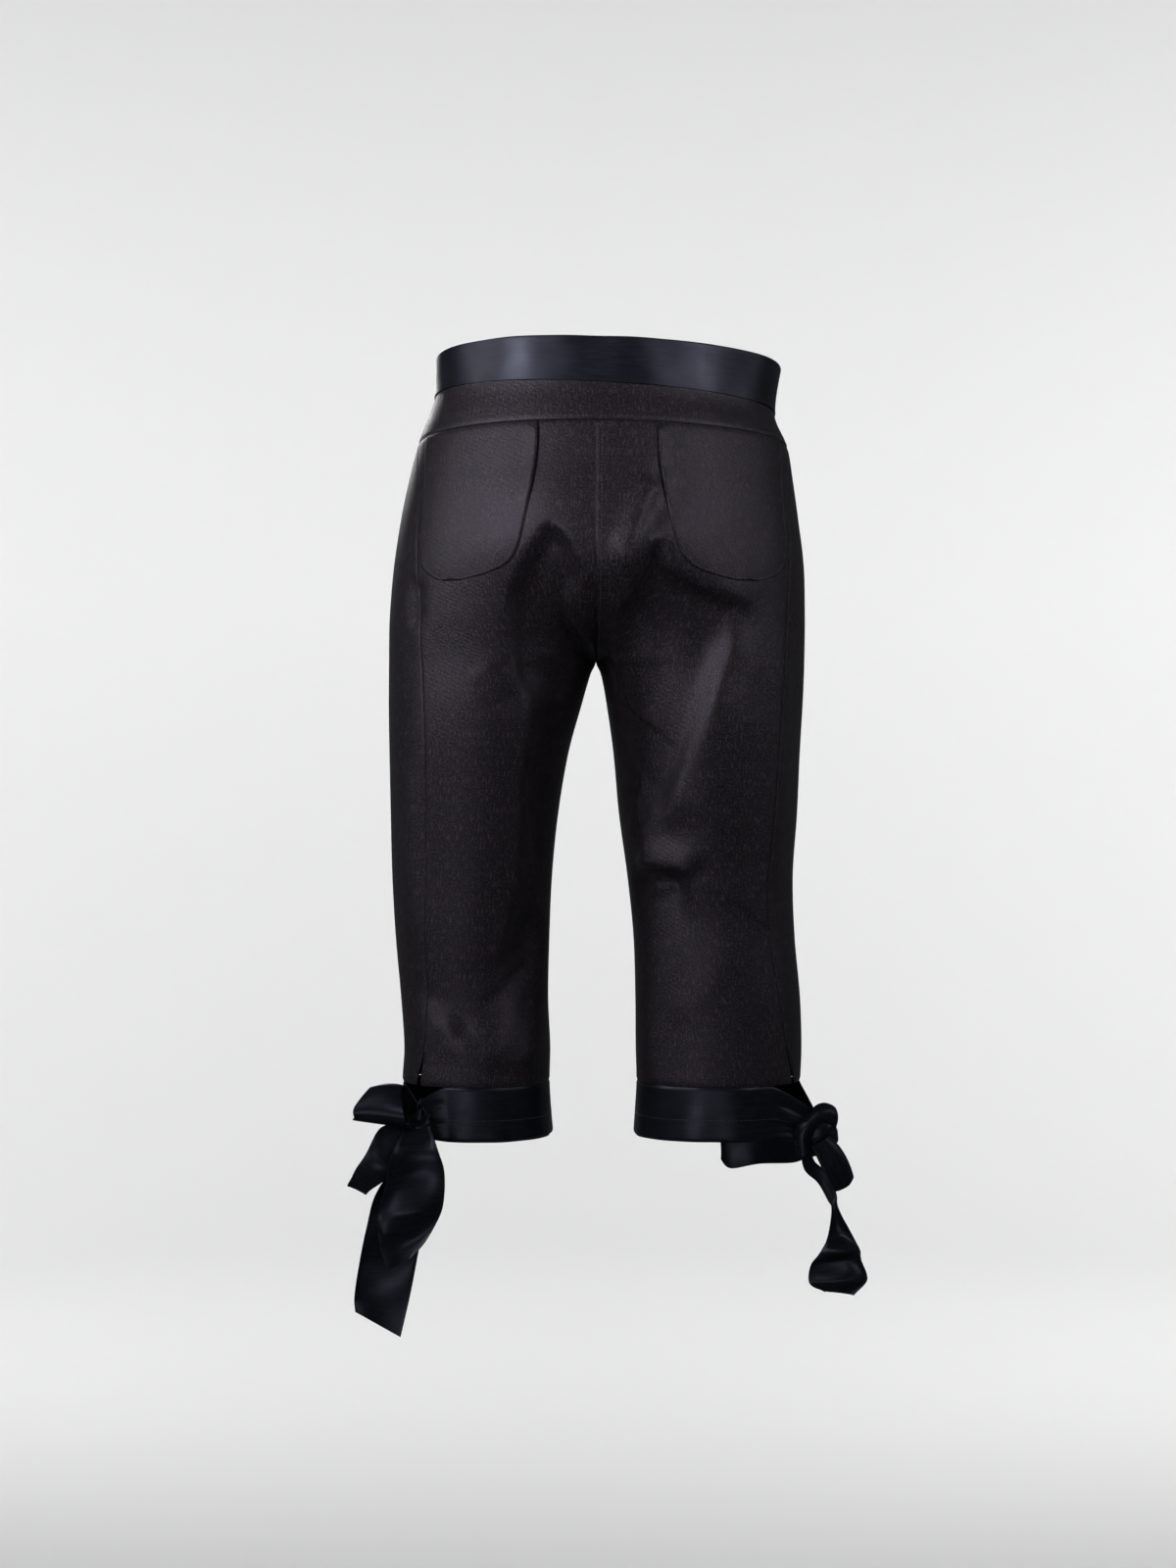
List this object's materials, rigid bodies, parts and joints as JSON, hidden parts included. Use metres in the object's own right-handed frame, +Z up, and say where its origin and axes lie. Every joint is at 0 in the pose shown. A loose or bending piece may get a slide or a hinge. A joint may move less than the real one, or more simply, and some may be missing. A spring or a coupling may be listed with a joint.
{
  "type": "capri pants",
  "caption": "Knee-length black sateen trousers, filled out as when worn, with a satin waistband, a shaped yoke, back patch pockets and satin hem bands tied in bows.",
  "frame": {"origin": "middle of the waist, halfway up the waistband, where the wearer's waist or a hanger holds the garment", "axes": "+Z up, the garment's front faces -Y, the wearer's left is +X"},
  "size_m": [0.4137, 0.2406, 0.7894],
  "materials": {
    "sateen": "black cotton sateen with a fine warm speckle and a soft sheen",
    "satin": "smooth blue-black satin"
  },
  "bodies": {
    "root": {"back_yoke": "sateen", "front_yoke_left": "sateen", "front_yoke_right": "sateen", "back_left": "sateen", "back_right": "sateen", "front_left": "sateen", "front_right": "sateen", "fly": "sateen", "back_pocket_left": "sateen", "back_pocket_right": "sateen", "waistband": "satin", "hem_band_left": "satin", "hem_band_right": "satin", "bow_left_knot": "satin", "bow_left_loop_upper": "satin", "bow_left_loop_lower": "satin", "bow_left_tail_near": "satin", "bow_left_tail_far": "satin", "bow_right_knot": "satin", "bow_right_loop_near": "satin", "bow_right_loop_far": "satin", "bow_right_tail_near": "satin", "bow_right_tail_far": "satin"}
  },
  "joints": []
}
